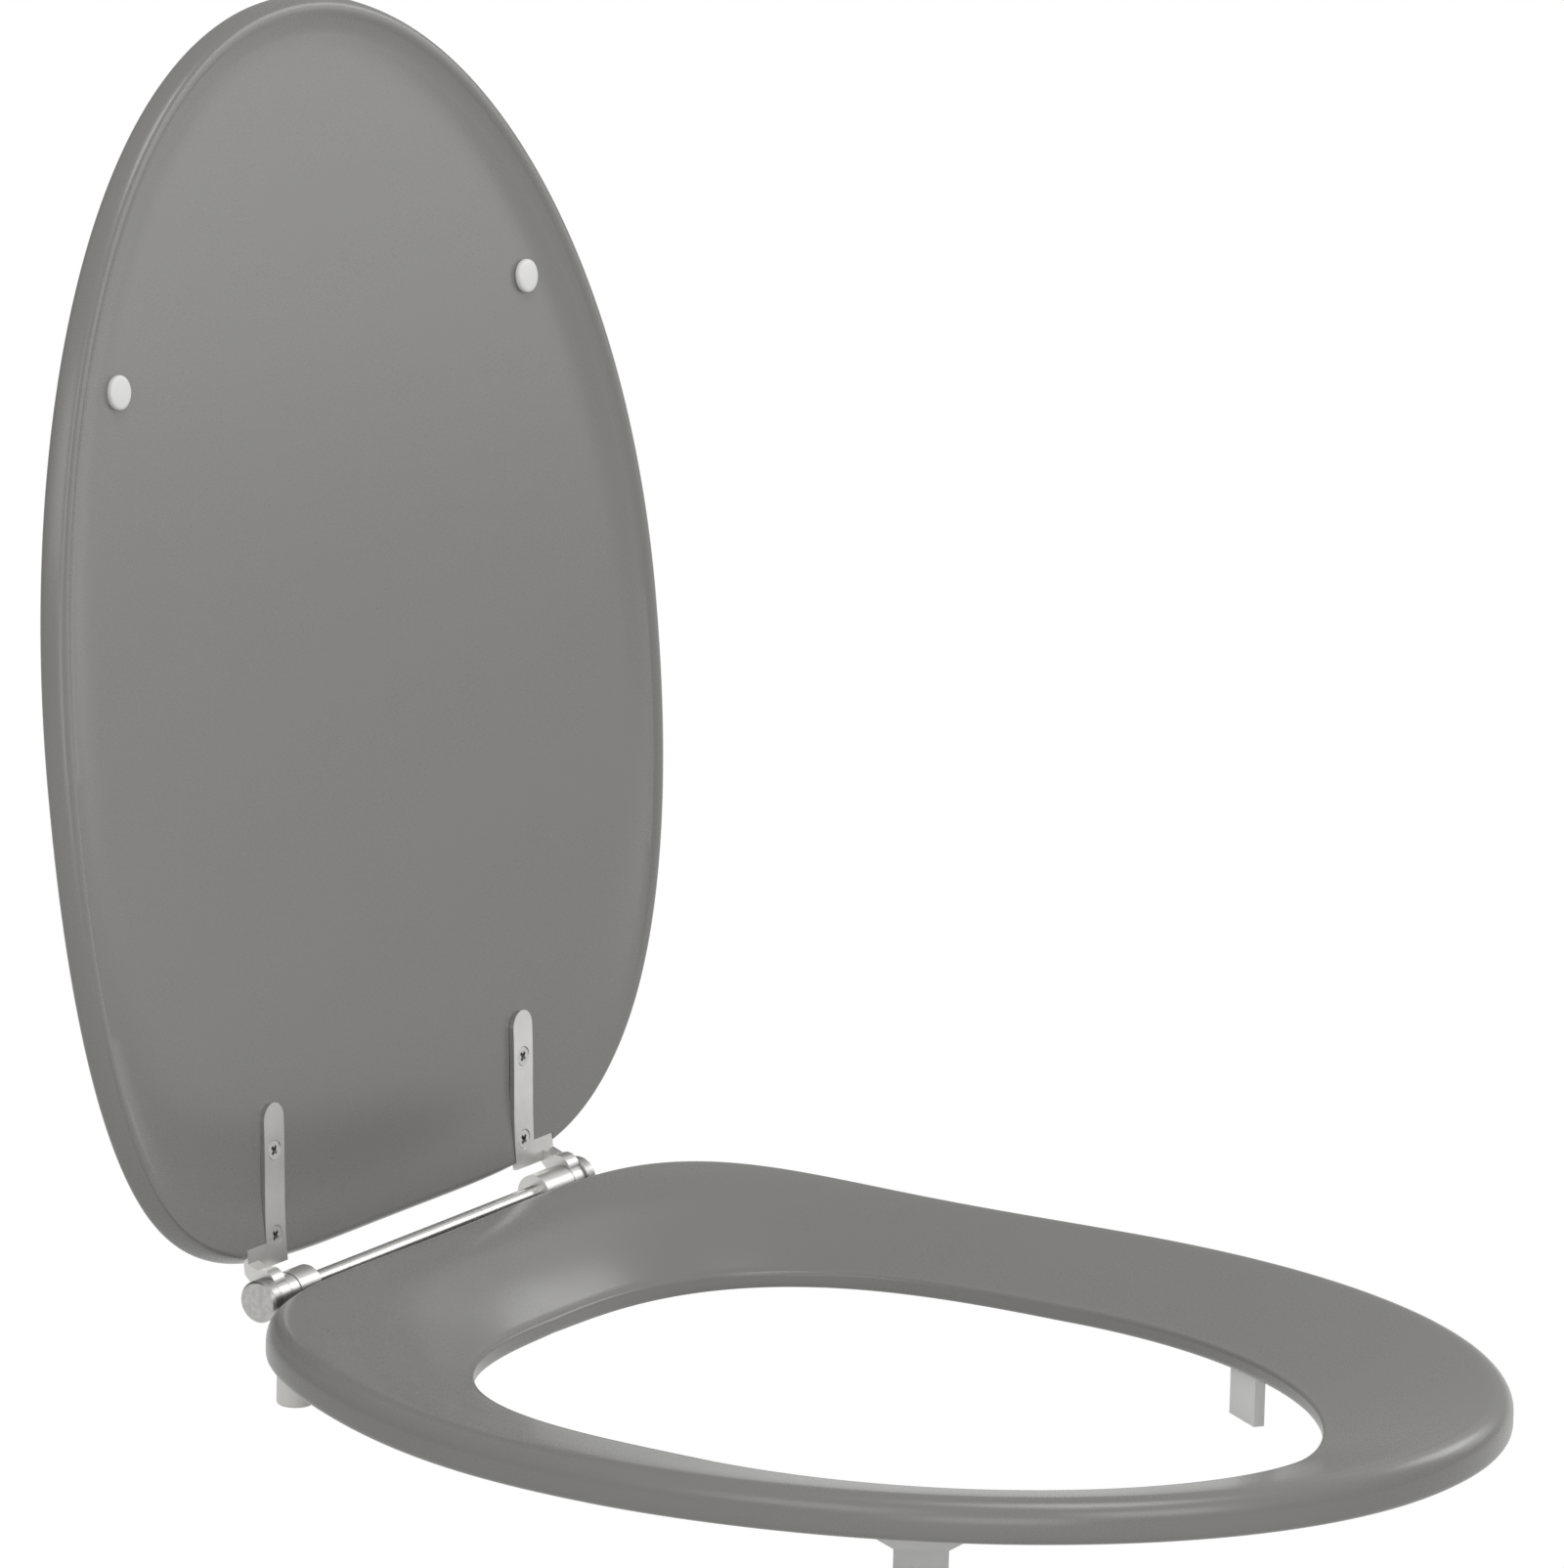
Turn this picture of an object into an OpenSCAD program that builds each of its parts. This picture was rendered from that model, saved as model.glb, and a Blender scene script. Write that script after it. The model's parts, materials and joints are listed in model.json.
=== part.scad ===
// Toilet seat with lid and a stainless rod hinge, millimetres.
// X runs along the hinge rod, the front of the seat points to -Y, Z is up.
// The origin lies on the rim of the bowl, midway between the two fixing threads.
// Heights inside the modules count from the hinge rod, which sits at post_h.
// Rest pose: seat down, lid open.

/* [Seat] */
// Width of the seat over its outer wall
seat_w = 357; // [330:1:390]
// Distance from the rod to the widest place
seat_mid = 190; // [170:1:220]
// Distance from the rod to the front of the seat
seat_front = 423; // [390:1:450]
// Distance from the rod to the straight rear edge
seat_back = 7.6; // [7.4:0.1:14]
// Height of the outer wall of the seat
seat_wall = 14.8; // [12:0.1:20]
// Radius of the outer shoulder of the seat
seat_shoulder = 8; // [4:0.5:9]
// Height of the rim above the rod at the widest place
rim_mid = -3.9; // [-8:0.1:0]
// Extra height of the rim at the hinge end
rim_rear = 14.2; // [6:0.1:16]
// Length over which that extra height fades
rim_fade = 87; // [60:1:140]
// Rise of the rim over half the seat length towards the front
rim_slope = 5; // [0:0.1:6]

/* [Opening] */
// Width of the opening
hole_w = 230.6; // [200:0.2:250]
// Distance from the rod to the rear of the opening
hole_back = 58; // [50:1:80]
// Distance from the rod to the widest place of the opening
hole_mid = 198; // [170:0.5:220]
// Distance from the rod to the front of the opening
hole_front = 361.4; // [330:0.2:390]
// Height of the inner top edge above the rod
lip_top = -16.8; // [-20:0.1:-10]
// Thickness of the ring at the inner edge
lip_t = 6.6; // [6:0.1:10]
// Rise of the inner edge over half the seat length towards the front
lip_slope = 2; // [0:0.1:6]

/* [Lid] */
// Width of the lid over its lip
lid_w = 366; // [340:0.2:395]
// Distance from the rod to the rear edge of the lid
lid_back = 8.7; // [7:0.1:14]
// Distance from the rod to the widest place of the lid
lid_wide = 196.8; // [170:0.2:220]
// Distance from the rod to the front of the lid
lid_front = 441.6; // [410:0.2:470]
// Angle between the closed lid and the open lid
lid_open = 98.2; // [90:0.1:110]
// Height of the lid edge from lip to crown
lid_edge = 10; // [8:0.5:14]
// Overhang of the lid wall beyond its lip
lid_flare = 1.6; // [0:0.1:3]
// Thickness of the lid panel
lid_t = 6; // [5:0.5:8]

/* [Hinge] */
// Distance between the two hinge pillars
post_pitch = 155; // [150:1:160]
// Diameter of the hinge rod
rod_d = 6; // [5:0.5:8]
// Width of the caps on the ends of the rod
cap_w = 5.4; // [3:0.1:8]
// Diameter of those caps
cap_d = 15; // [13:0.2:18]
// Diameter of the round head of a pillar
head_d = 13.6; // [12:0.2:16]
// Width of the round head of a pillar
head_w = 12; // [10:0.5:14]
// Diameter of the sleeve on the pillar foot
foot_d = 13.2; // [12:0.2:18]
// Diameter of the pillar
post_d = 11.6; // [10:0.2:13]
// Length of the sleeve on the pillar foot
foot_l = 14; // [8:0.5:20]
// Depth of the thread in the pillar foot
fix_depth = 20; // [10:1:28]
// Height of the rod above the bowl
post_h = 42.5; // [30:0.5:50]
// Nominal diameter of the fixing thread in the pillar foot
fix_d = 8; // [6:1:8]
// Diameter of the hinge eyes
eye_d = 13; // [11:0.2:14]
// Width of the lid eye
lid_eye_w = 6.5; // [5:0.1:8]
// Width of the seat eye
seat_eye_w = 5.5; // [5:0.1:8]
// Width of the straps
strap_w = 12; // [10:0.5:16]
// Thickness of the straps
strap_t = 1.8; // [1.5:0.1:3]
// Distance from the rod to the far end of the lid strap
lid_strap_end = 66; // [50:1:80]
// Distance from the rod to the far end of the seat strap
seat_strap_end = 44; // [38:1:50]

/* [Buffers] */
// Distance of the lid buffers from the side of the lid
lid_buf_side = 57.5; // [50:0.1:70]
// Distance of the lid buffers from the front of the lid
lid_buf_back = 116.6; // [100:0.2:150]
// Diameter of the lid buffers
lid_buf_d = 12; // [8:0.5:16]
// Height of the buffer face in the closed lid
lid_buf_face = -1.6; // [-6:0.05:0]
// Distance of the legs inward from the widest half width of the opening
leg_side = 7.5; // [4:0.5:20]
// Distance of the legs behind the front of the opening
leg_back = 83.8; // [70:0.2:100]
// Turn of the legs, so they follow the opening
leg_turn = 32; // [0:1:45]
// Width of the blade of a leg
leg_w = 18.8; // [12:0.2:24]
// Thickness of the blade of a leg
leg_t = 4; // [3:0.5:8]
// Width of the head of a leg at its outer end
leg_head_w = 33.6; // [22:0.5:36]
// Reach of that head outward from the blade
leg_out = 16; // [8:0.5:24]
// Height of the top of the legs
leg_top = -18.6; // [-22:0.1:-16]
// Height at which the head starts to narrow
leg_neck = -26.8; // [-36:0.1:-24]
// Height of the underside of the head at its outer end
leg_foot = -31; // [-38:0.1:-28]
// Height of the underside of the head at the blade
leg_root = -25.6; // [-30:0.1:-23]

/* [Fits] */
// Running clearance of the bushes on the rod, on diameter
run_gap = 0.1; // [0.04:0.02:0.2]
// Side clearance between neighbours on the rod
side_gap = 0.2; // [0.1:0.05:0.5]
// Clearance of fixed parts in their moulded pockets
pocket_gap = 0.1; // [0.05:0.05:0.3]

/* [Hidden] */
rear_n = 18;
front_n = 22;
bush_d = rod_d + 3;
post_x = post_pitch / 2;
head_out = post_x + head_w / 2;
seat_eye_in = head_out + side_gap;
seat_eye_out = seat_eye_in + seat_eye_w;
lid_eye_in = seat_eye_out + side_gap;
lid_eye_out = lid_eye_in + lid_eye_w;
cap_in = lid_eye_out + side_gap;
cap_out = cap_in + cap_w;
rod_half = cap_out - 1;
lid_buf_x = lid_w / 2 - lid_buf_side;
lid_buf_y = lid_front - lid_buf_back;
leg_x = hole_w / 2 - leg_side;
leg_y = hole_front - leg_back;
seat_eye_mid = (seat_eye_in + seat_eye_out) / 2;
relief_z = -6.6;
relief_mid_z = -5.4;
relief_end = 21;
relief_half = post_x + 36.5;
strap_z = relief_z + 0.1;
plane_z = -post_h;
deep = 30;
edge_room = 4;

// Parameter curve: t 0..1 is the rear half, 1..2 the front half of one side.
function phi(t) = t <= 1 ? 90 * pow(t, 1.6) : 90 * t;
// The powers round or square each half: rear x, rear y, front x, front y.
function curve(t, w, back, mid, front, powers) =
  let (p = phi(t), s = abs(sin(p)), c = cos(p))
  p <= 90
    ? [w / 2 * pow(s, 2 / powers[0]), mid - (mid - back) * pow(c, 2 / powers[1])]
    : [w / 2 * pow(s, 2 / powers[2]), mid + (front - mid) * pow(-c, 2 / powers[3])];
function outer(t) = curve(t, seat_w, seat_back, seat_mid, seat_front, [5.8, 1.9, 2.06, 1.96]);
function inner(t) = curve(t, hole_w, hole_back, hole_mid, hole_front, [2.7, 3.2, 1.7, 1.96]);
function cover(t) = curve(t, lid_w, lid_back, lid_wide, lid_front, [4.43, 2.2, 2.03, 2.01]);

// Stations round a full closed outline, as [t, side].
half_t = concat([for (i = [0:rear_n - 1]) i / rear_n], [for (i = [0:front_n]) 1 + i / front_n]);
stations = concat(
  [for (t = half_t) [t, 1]],
  [for (i = [len(half_t) - 2:-1:1]) [half_t[i], -1]]
);

// Heights of the seat, all from the distance f to the rod.
function rim(f) = rim_mid + rim_rear * exp(-pow(f / rim_fade, 2)) + rim_slope * (f - 220) / 220;
function edge_top(f) = lip_top + lip_slope * (f - 220) / 220;
function rearness(f) = exp(-pow(max(0, f - 8) / 70, 2));
function dish_power(f) = 1.35 + 0.95 * rearness(f);

// Section of the ring: s is the distance from the outer wall, w the ring width.
function seat_section(w, f) =
  let (
    zr = rim(f), zb = zr - seat_wall, zi = edge_top(f), zu = zi - lip_t,
    r = seat_shoulder, p = dish_power(f), run = w - r - 3.5
  )
  concat(
    [[3, zb], [0.9, zb + 0.9], [0, zb + 3]],
    [for (a = [0:15:75]) [r - r * cos(a), zr - r + r * sin(a)]],
    [for (v = [0:0.1:1]) [r + run * v, zr + (zi - zr) * pow(v, p) - 0.25 * sin(180 * v)]],
    [[w - 1.8, zi - 0.7], [w - 0.6, zi - 1.9], [w, zi - 3.5]],
    [[w, zu + 2], [w - 0.6, zu + 0.6], [w - 2, zu]],
    [for (v = [0.75, 0.5, 0.25]) [w * v, zb + (zu - zb) * pow(v, 2.2)]]
  );

function at(o, i, s) = let (w = norm(i - o)) o + (i - o) * s / w;

// Skin over a ring of closed sections.
module ring_skin(rows) {
  n = len(rows);
  m = len(rows[0]);
  pts = [for (row = rows) each row];
  faces = [for (k = [0:n - 1]) for (j = [0:m - 1])
    let (a = k * m + j, b = k * m + (j + 1) % m, c = ((k + 1) % n) * m + (j + 1) % m, d = ((k + 1) % n) * m + j)
    each [[a, c, b], [a, d, c]]];
  polyhedron(points = pts, faces = faces, convexity = 8);
}

module seat_body() {
  rows = [for (st = stations)
    let (o = outer(st[0]), i = inner(st[0]), w = norm(i - o))
    [for (q = seat_section(w, o[1])) let (g = at(o, i, q[0])) [st[1] * g[0], -g[1], q[1]]]];
  ring_skin(rows);
}

// Heights of the closed lid at a plan point.
function lid_lip(x, f) =
  11.2 - 10.7 * pow(x / 185, 2) - 0.0239 * f - 3.2 * exp(-pow(f / 20, 2));
function lid_panel(x, f) =
  let (rear = exp(-pow(max(0, f - 8) / 44, 2)))
  3 - 4.3 * pow(x / 170, 2) * (1 - 0.7 * rear) + 5.6 * rear;

// Edge of the lid: e is outward from the outline, h above the lip.
lid_edge_pts = [
  [-6, 1.2], [-4.6, 0.3], [-3, 0], [-1.2, 0.2], [-0.2, 1.2], [0.7, 3.2], [lid_flare, 6.4],
  [lid_flare - 0.3, 7.9], [lid_flare - 1.6, lid_edge - 1], [-2.6, lid_edge - 0.2], [-6.5, lid_edge + 0.2]
];
top_rings = [0.1, 0.2, 0.35, 0.5, 0.7, 0.88];
low_rings = [0.88, 0.7, 0.5, 0.35, 0.24, 0.16, 0.11, 0.075, 0.055];

lid_mid = 205;

module lid_body() {
  mid = [0, lid_mid];
  rows = [for (st = stations)
    let (o = cover(st[0]), d = (mid - o) / norm(mid - o), big = norm(mid - o))
    concat(
      [for (e = lid_edge_pts) let (g = o - d * e[0]) [st[1] * g[0], -g[1], lid_lip(o[0], o[1]) + e[1]]],
      [for (k = top_rings)
        let (g = o + (mid - o) * k, q = 1 - pow(1 - k, 2), crown = lid_panel(g[0], g[1]) + lid_t)
        [st[1] * g[0], -g[1],
          (lid_lip(o[0], o[1]) + lid_edge + 0.3) * pow(1 - k, 3) + crown * (1 - pow(1 - k, 3)) + 0.6 * q]],
      [for (k = low_rings)
        let (g = o + (mid - o) * k, s = max(0, big * k - 6), b = exp(-pow(s / 9, 2)))
        [st[1] * g[0], -g[1],
          lid_panel(g[0], g[1]) * (1 - b) + (lid_lip(o[0], o[1]) + 1.2) * b]]
    )];
  n = len(rows);
  m = len(rows[0]);
  split = len(lid_edge_pts) + len(top_rings) - 1;
  top_c = n * m;
  low_c = n * m + 1;
  pts = concat([for (row = rows) each row],
    [[mid[0], -mid[1], lid_panel(0, mid[1]) + lid_t + 0.6], [mid[0], -mid[1], lid_panel(0, mid[1])]]);
  faces = [for (k = [0:n - 1]) for (j = [0:m - 1])
    let (k2 = (k + 1) % n, a = k * m + j, b = k * m + (j + 1) % m, c = k2 * m + (j + 1) % m, d = k2 * m + j)
    each (j == split ? [[a, d, top_c], [low_c, c, b]] : [[a, c, b], [a, d, c]])];
  polyhedron(points = pts, faces = faces, convexity = 8);
}

// Lifts what is drawn round the rod to its place over the bowl.
module on_rod() {
  translate([0, 0, post_h]) children();
}

// The lid and its fittings are drawn closed and then swung open.
module opened() {
  on_rod() rotate([-lid_open, 0, 0]) children();
}

module along_x(x0, x1, d) {
  translate([x0, 0, 0]) rotate([0, 90, 0]) cylinder(h = x1 - x0, d = d, $fn = 96);
}

module both() {
  children();
  mirror([1, 0, 0]) children();
}

// Lid strap, drawn closed on the right side. It follows the panel of the lid.
lid_strap_near = 8.4;
lid_strap_x = post_x + 0.6;
lid_screw_f = [18.5, 49];
seat_screw_f = [20, 35];
screw_d = 4;
screw_head_d = 7.2;
screw_head_h = 1.4;
lid_screw_l = 6;
seat_screw_l = 5.8;
knuckle_d = 10;
lid_arm_end = 17;
function strap_top(f) = lid_panel(lid_strap_x, f) - 0.05;

module lid_strap_band(f0, f1, thick) {
  stops = concat([f0], [for (f = [0:4:lid_front]) if (f > f0 + 0.5 && f < f1 - 0.5) f], [f1]);
  up = [for (f = stops) [-f, strap_top(f)]];
  low = [for (i = [len(stops) - 1:-1:0]) [-stops[i], strap_top(stops[i]) - thick]];
  rotate([90, 0, 90]) linear_extrude(height = strap_w * 4, center = true) polygon(concat(up, low));
}

module strap_plan(w, f0, f1, grow) {
  translate([-w / 2 - grow, -f1 + w / 2, -deep]) cube([w + 2 * grow, f1 - f0 - w / 2 + grow, 2 * deep]);
  translate([0, -f1 + w / 2, -deep]) cylinder(h = 2 * deep, d = w + 2 * grow, $fn = 64);
}

// Plan of the arm that leads from the strap out to the lid eye.
module arm_plan(grow, near) {
  translate([lid_strap_x, -lid_arm_end - grow, -deep])
    cube([lid_eye_out - lid_strap_x + grow, lid_arm_end - near + grow, 2 * deep]);
}

// Screw with a countersunk head facing down, its face at height 0.
module sunk_screw(l, grow) {
  translate([0, 0, -grow]) cylinder(h = screw_head_h + grow, d1 = screw_head_d + 2 * grow, d2 = screw_d + 2 * grow, $fn = 48);
  cylinder(h = l + grow, d = screw_d + 2 * grow, $fn = 48);
}

module at_lid_screws() {
  for (f = lid_screw_f) translate([lid_strap_x, -f, strap_top(f) - strap_t + 0.15]) children();
}

module lid_strap() {
  difference() {
    union() {
      translate([lid_strap_x, 0, 0]) intersection() {
        lid_strap_band(lid_strap_near, lid_strap_end, strap_t);
        strap_plan(strap_w, lid_strap_near, lid_strap_end, 0);
      }
      intersection() {
        translate([lid_strap_x, 0, 0]) lid_strap_band(lid_strap_near, lid_arm_end, strap_t);
        arm_plan(0, lid_strap_near);
      }
      translate([lid_eye_in, 0, 0]) rotate([90, 0, 90]) linear_extrude(height = lid_eye_w)
        polygon([[-3.5, 0], [-5, 5.7], [-lid_strap_near, strap_top(lid_strap_near)],
          [-12, strap_top(12)], [-12, strap_top(12) - strap_t], [-9.9, 2.5]]);
      along_x(lid_eye_in, lid_eye_out, eye_d);
      translate([0, -5.1, 0.8]) along_x(lid_eye_in, lid_eye_out, knuckle_d);
    }
    along_x(lid_eye_in - 1, lid_eye_out + 1, bush_d);
    at_lid_screws() sunk_screw(lid_screw_l, 0.05);
  }
}

module lid_cuts() {
  translate([lid_strap_x, 0, 0]) intersection() {
    translate([0, 0, 0.02]) lid_strap_band(lid_back - edge_room, lid_strap_end + 1, 9);
    union() {
      strap_plan(strap_w, lid_back - edge_room, lid_strap_end, pocket_gap);
      translate([-lid_strap_x, 0, 0]) arm_plan(pocket_gap, lid_back - edge_room);
    }
  }
  at_lid_screws() cylinder(h = lid_screw_l + 0.3, d = screw_d + 2 * pocket_gap, $fn = 48);
  translate([lid_buf_x, -lid_buf_y, lid_buf_face + lid_buf_h]) {
    translate([0, 0, -6]) cylinder(h = 6, d = lid_buf_d + 2 * pocket_gap, $fn = 72);
    cylinder(h = lid_stem_h + 0.2, d = lid_stem_d, $fn = 48);
  }
}

// Lid buffer: a low button with a rounded face and a stem pressed in the lid.
lid_buf_h = 4.4;
lid_stem_d = 5;
lid_stem_h = 2.2;
module lid_buffer() {
  translate([lid_buf_x, -lid_buf_y, lid_buf_face]) {
    rotate_extrude($fn = 72) polygon(concat(
      [[0, 0]],
      [for (a = [0:15:90]) [lid_buf_d / 2 - 1.4 + 1.4 * sin(a), 1.4 - 1.4 * cos(a)]],
      [[lid_buf_d / 2, lid_buf_h], [0, lid_buf_h]]));
    translate([0, 0, lid_buf_h - 0.01]) cylinder(h = lid_stem_h, d = lid_stem_d, $fn = 48);
  }
}

module lid_moulding() {
  difference() {
    lid_body();
    both() lid_cuts();
  }
}

// Seat strap, under the rear of the seat.
seat_strap_w = 10;
seat_strap_near = 8.6;
module at_seat_screws() {
  for (f = seat_screw_f) translate([seat_eye_mid, -f, strap_z]) children();
}

module seat_strap() {
  difference() {
    union() {
      along_x(seat_eye_in, seat_eye_out, eye_d);
      translate([seat_eye_in, -seat_strap_near - 1, strap_z]) cube([seat_eye_w, seat_strap_near + 1, strap_t]);
      translate([seat_eye_mid, 0, 0]) intersection() {
        translate([-seat_strap_w, -seat_strap_end - 1, strap_z]) cube([seat_strap_w * 2, seat_strap_end, strap_t]);
        strap_plan(seat_strap_w, seat_strap_near, seat_strap_end, 0);
      }
    }
    along_x(seat_eye_in - 1, seat_eye_out + 1, bush_d);
    at_seat_screws() sunk_screw(seat_screw_l, 0.05);
  }
}

// Leg under the seat front: a blade, a head that reaches outward under the ring and a pressed stem.
leg_stem_d = 9;
leg_stem_h = 2.8;
module leg_shape(grow) {
  translate([leg_x, -leg_y, 0]) rotate([0, 0, -leg_turn]) {
    translate([-leg_t / 2 - grow, -leg_w / 2 - grow, plane_z])
      cube([leg_t + 2 * grow, leg_w + 2 * grow, leg_top - plane_z + grow]);
    hull() {
      translate([-leg_t / 2, -leg_w / 2 - grow, leg_root]) cube([leg_t, leg_w + 2 * grow, leg_top - leg_root + grow]);
      translate([leg_out - 2, 0, 0]) rotate([90, 0, 90]) linear_extrude(height = 2 + grow) polygon([
        [-leg_head_w / 2 - grow, leg_top + grow], [leg_head_w / 2 + grow, leg_top + grow],
        [leg_head_w / 2 + grow, leg_neck], [leg_w / 2, leg_foot],
        [-leg_w / 2, leg_foot], [-leg_head_w / 2 - grow, leg_neck]]);
    }
    translate([0, 0, leg_top - 0.01]) cylinder(h = leg_stem_h + grow, d = leg_stem_d, $fn = 64);
  }
}

module seat_cuts() {
  translate([-1, -relief_end, relief_z - 20]) cube([relief_half + 1, relief_end + 1, 20]);
  translate([-1, -relief_end, relief_mid_z - 20]) cube([post_x - 7, relief_end + 1, 20]);
  translate([lid_eye_in - 0.5, -11.3, -20]) cube([lid_eye_w + 1, 12, 40]);
  translate([seat_eye_mid, 0, 0]) intersection() {
    translate([-20, -60, strap_z - 30]) cube([40, 60, strap_t + 30 + 0.02]);
    strap_plan(seat_strap_w, 0, seat_strap_end, pocket_gap);
  }
  at_seat_screws() cylinder(h = seat_screw_l + 0.3, d = screw_d + 2 * pocket_gap, $fn = 48);
  leg_shape(pocket_gap);
}

module seat_moulding() {
  difference() {
    seat_body();
    both() seat_cuts();
  }
}

// Pillar with its round head on the rod and a thread in its foot.
set_d = 3;
set_sink = 0.6;
cap_set_d = 2;
cap_edge = 0.8;
sole_t = 1.2;
foot_edge = 1.2;
module hinge_post() {
  difference() {
    union() {
      along_x(post_x - head_w / 2, post_x + head_w / 2, head_d);
      translate([post_x, 0, plane_z + sole_t]) cylinder(h = post_h - sole_t, d = post_d, $fn = 96);
    }
    along_x(post_x - head_w, post_x + head_w, rod_d);
    translate([post_x, 0, plane_z]) cylinder(h = fix_depth + sole_t, d = fix_d, $fn = 64);
    translate([post_x, 0, 0]) rotate([-90, 0, 0]) cylinder(h = head_d, d = set_d, $fn = 32);
  }
}

module post_set_screw() {
  translate([post_x, rod_d / 2, 0]) rotate([-90, 0, 0]) cylinder(h = (head_d - rod_d) / 2 - set_sink, d = set_d, $fn = 32);
}

module foot_sleeve() {
  translate([post_x, 0, plane_z]) rotate_extrude($fn = 96) polygon(concat(
    [[fix_d / 2, sole_t], [fix_d / 2, 0]],
    [for (a = [0:18:90]) [foot_d / 2 - foot_edge + foot_edge * sin(a), foot_edge - foot_edge * cos(a)]],
    [[foot_d / 2, foot_l], [post_d / 2, foot_l], [post_d / 2, sole_t]]));
}

module rod() {
  along_x(-rod_half, rod_half, rod_d);
}

module bush(x0, x1) {
  difference() {
    along_x(x0, x1, bush_d);
    along_x(x0 - 1, x1 + 1, rod_d + run_gap);
  }
}

module end_cap() {
  difference() {
    rotate([90, 0, 90]) rotate_extrude($fn = 96) polygon([
      [0, cap_in], [cap_d / 2, cap_in], [cap_d / 2, cap_out - cap_edge], [cap_d / 2 - cap_edge, cap_out], [0, cap_out]]);
    along_x(cap_in - 1, rod_half, rod_d);
    translate([(cap_in + rod_half) / 2, 0, -cap_d]) cylinder(h = cap_d, d = cap_set_d, $fn = 32);
  }
}

module cap_set_screw() {
  translate([(cap_in + rod_half) / 2, 0, set_sink - cap_d / 2])
    cylinder(h = (cap_d - rod_d) / 2 - set_sink, d = cap_set_d, $fn = 32);
}

module seat_ring() { color("dimgray") on_rod() seat_moulding(); }
module lid_shell() { color("gray") opened() lid_moulding(); }
module hinge_rod() { color("silver") on_rod() rod(); }
module hinge_post_right() { color("silver") on_rod() hinge_post(); }
module hinge_post_left() { color("silver") on_rod() mirror([1, 0, 0]) hinge_post(); }
module post_set_screws() { color("dimgray") on_rod() both() post_set_screw(); }
module foot_sleeves() { color("whitesmoke") on_rod() both() foot_sleeve(); }
module lid_strap_right() { color("silver") opened() lid_strap(); }
module lid_strap_left() { color("silver") opened() mirror([1, 0, 0]) lid_strap(); }
module lid_bushes() { color("white") on_rod() both() bush(lid_eye_in, lid_eye_out); }
module lid_strap_screws() { color("gray") opened() both() at_lid_screws() sunk_screw(lid_screw_l, 0); }
module seat_strap_right() { color("silver") on_rod() seat_strap(); }
module seat_strap_left() { color("silver") on_rod() mirror([1, 0, 0]) seat_strap(); }
module seat_bushes() { color("white") on_rod() both() bush(seat_eye_in, seat_eye_out); }
module seat_strap_screws() { color("gray") on_rod() both() at_seat_screws() sunk_screw(seat_screw_l, 0); }
module rod_end_caps() { color("silver") on_rod() both() end_cap(); }
module cap_set_screws() { color("dimgray") on_rod() both() cap_set_screw(); }
module lid_buffer_right() { color("white") opened() lid_buffer(); }
module lid_buffer_left() { color("white") opened() mirror([1, 0, 0]) lid_buffer(); }
module seat_leg_right() { color("lightgray") on_rod() leg_shape(0); }
module seat_leg_left() { color("lightgray") on_rod() mirror([1, 0, 0]) leg_shape(0); }

seat_ring();
lid_shell();
hinge_rod();
hinge_post_left();
hinge_post_right();
post_set_screws();
foot_sleeves();
lid_strap_left();
lid_strap_right();
lid_bushes();
lid_strap_screws();
seat_strap_left();
seat_strap_right();
seat_bushes();
seat_strap_screws();
rod_end_caps();
cap_set_screws();
lid_buffer_left();
lid_buffer_right();
seat_leg_left();
seat_leg_right();
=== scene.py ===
# %% [markdown]
# This script dresses a toilet seat in Blender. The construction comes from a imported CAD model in
# metres: the hinge rod lies along X, the front of the seat points to -Y and the bowl rim is z = 0.
# Blender adds smooth mouldings, rounded edges, screw drives, finishes, light and a camera. It moves
# nothing that the CAD made.

import json
import math

import bmesh
import bpy
from mathutils import Matrix, Vector


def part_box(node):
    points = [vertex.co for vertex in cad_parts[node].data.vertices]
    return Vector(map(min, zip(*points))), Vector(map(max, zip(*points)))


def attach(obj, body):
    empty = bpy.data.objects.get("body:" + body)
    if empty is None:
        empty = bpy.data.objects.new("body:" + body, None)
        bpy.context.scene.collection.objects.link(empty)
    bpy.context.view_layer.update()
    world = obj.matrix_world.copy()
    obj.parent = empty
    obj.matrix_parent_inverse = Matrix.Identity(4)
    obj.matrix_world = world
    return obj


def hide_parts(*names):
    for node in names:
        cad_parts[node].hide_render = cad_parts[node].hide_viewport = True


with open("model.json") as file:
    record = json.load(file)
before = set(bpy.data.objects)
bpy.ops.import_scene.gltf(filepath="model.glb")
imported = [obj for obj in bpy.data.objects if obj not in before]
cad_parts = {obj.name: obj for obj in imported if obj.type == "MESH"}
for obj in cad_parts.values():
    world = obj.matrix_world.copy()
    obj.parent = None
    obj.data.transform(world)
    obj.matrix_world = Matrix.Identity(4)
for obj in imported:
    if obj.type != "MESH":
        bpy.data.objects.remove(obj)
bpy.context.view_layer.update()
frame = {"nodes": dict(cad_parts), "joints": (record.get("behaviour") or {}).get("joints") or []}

# %% [markdown]
# Every size below is a real one in millimetres, because a designer thinks in them. One factor turns
# them into Blender's metres. The hinge axis and the opening angle of the lid come from the frame, so
# the new pieces always swing about the same rod as the CAD ones. The lid is drawn closed, where its
# heights are easy to give, and one matrix then swings it open.

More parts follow.
